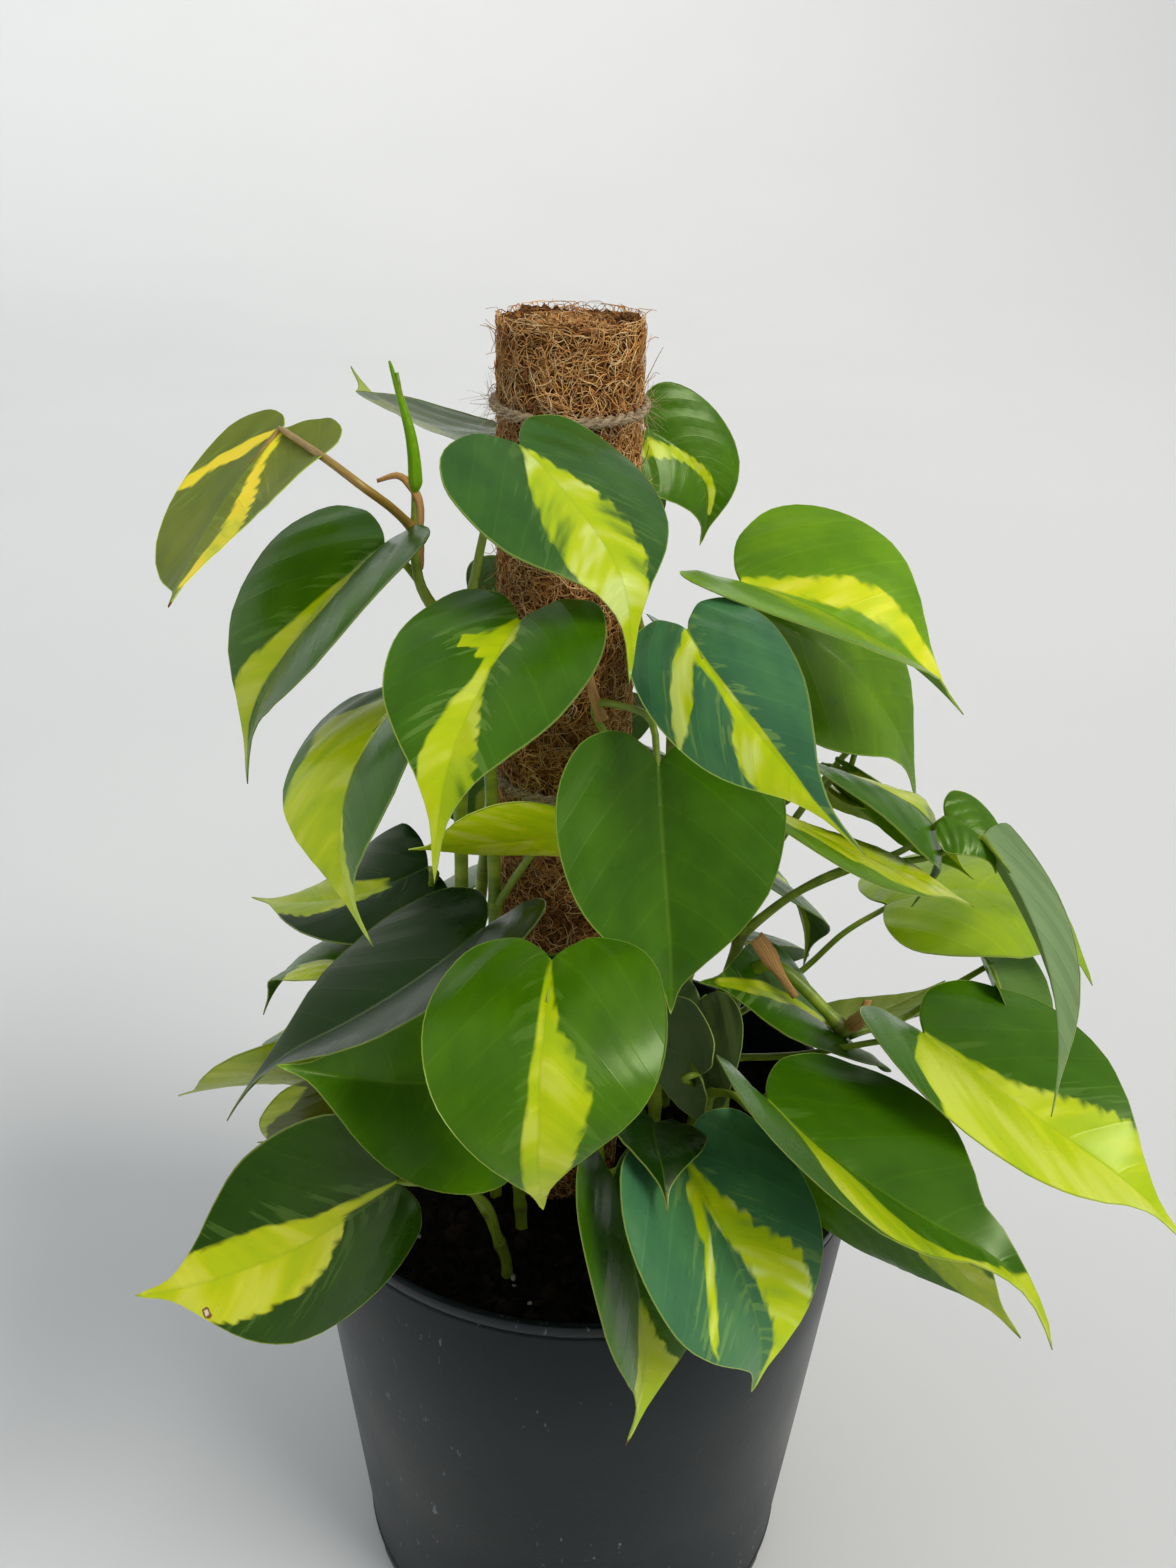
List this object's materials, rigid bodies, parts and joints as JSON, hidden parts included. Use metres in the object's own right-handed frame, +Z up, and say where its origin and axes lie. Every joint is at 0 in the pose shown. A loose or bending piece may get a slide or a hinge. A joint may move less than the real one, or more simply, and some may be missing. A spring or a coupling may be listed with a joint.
{
  "type": "potted brasil philodendron",
  "caption": "Heart-leaved trailing plant with green and lime variegated leaves, trained up a coir pole in a round black nursery pot with drainage slots.",
  "frame": {"origin": "centre of the pot's underside, on the surface it stands on", "axes": "+Z up along the pole, +X to the right and -Y to the front as the picture shows the plant"},
  "size_m": [0.3201, 0.2609, 0.471],
  "materials": {
    "pot": "satin black with fine scuffs",
    "soil": "rough, dark bark and peat mix",
    "coir": "matted brown fibre",
    "stake": "plain, hidden",
    "jute": "twisted, fuzzy",
    "leaf": "waxy satin, dark green with lime centres"
  },
  "bodies": {
    "root": {"pot": "pot", "soil": "soil", "coir_sleeve": "coir", "pole_stake": "stake", "tie_upper": "jute", "tie_middle": "jute", "tie_lower": "jute", "vine_left_high": "leaf", "vine_centre_high": "leaf", "vine_right_high": "leaf", "vine_right_mid": "leaf", "vine_right_low": "leaf", "vine_right_front": "leaf", "vine_front": "leaf", "vine_front_low": "leaf", "vine_left_low": "leaf", "vine_left_back": "leaf", "vine_left_bottom": "leaf", "vine_back_left": "leaf", "vine_back": "leaf", "vine_back_right": "leaf", "vine_back_low": "leaf"}
  },
  "joints": []
}
